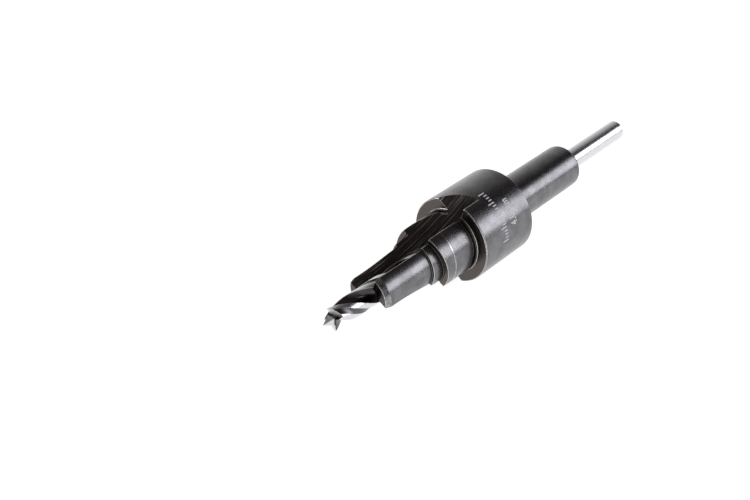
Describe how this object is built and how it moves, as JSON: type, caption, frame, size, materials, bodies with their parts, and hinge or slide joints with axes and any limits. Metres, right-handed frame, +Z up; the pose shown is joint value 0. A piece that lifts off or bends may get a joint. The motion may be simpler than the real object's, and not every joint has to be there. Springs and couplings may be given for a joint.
{
  "type": "wood drill bit",
  "caption": "Stepped countersink body with straight chip flutes and a stop collar, clamped on a sliding brad-point wood drill by a socket set screw.",
  "frame": {"origin": "centre of the bounding box's bottom face: below the middle of the tool's length, where the stop collar rests on the ground", "axes": "+X along the tool from the brad point to the shank, +Z up, +Y to the side on which the set screw opens; metres"},
  "size_m": [0.0848, 0.016, 0.016],
  "materials": {
    "black_oxide_steel": "black oxide over turned and milled steel, worn bright at the edges",
    "ground_tool_steel": "ground bright tool steel with darker flutes",
    "black_oxide_screw": "black oxide"
  },
  "bodies": {
    "body": {"countersink_body": "black_oxide_steel", "set_screw": "black_oxide_screw"},
    "drill": {"brad_point_drill": "ground_tool_steel"}
  },
  "joints": [
    {"name": "depth_slide", "type": "slide", "parent": "body", "child": "drill", "axis": [1, 0, 0], "range_m": [-0.012, 0.003]}
  ]
}
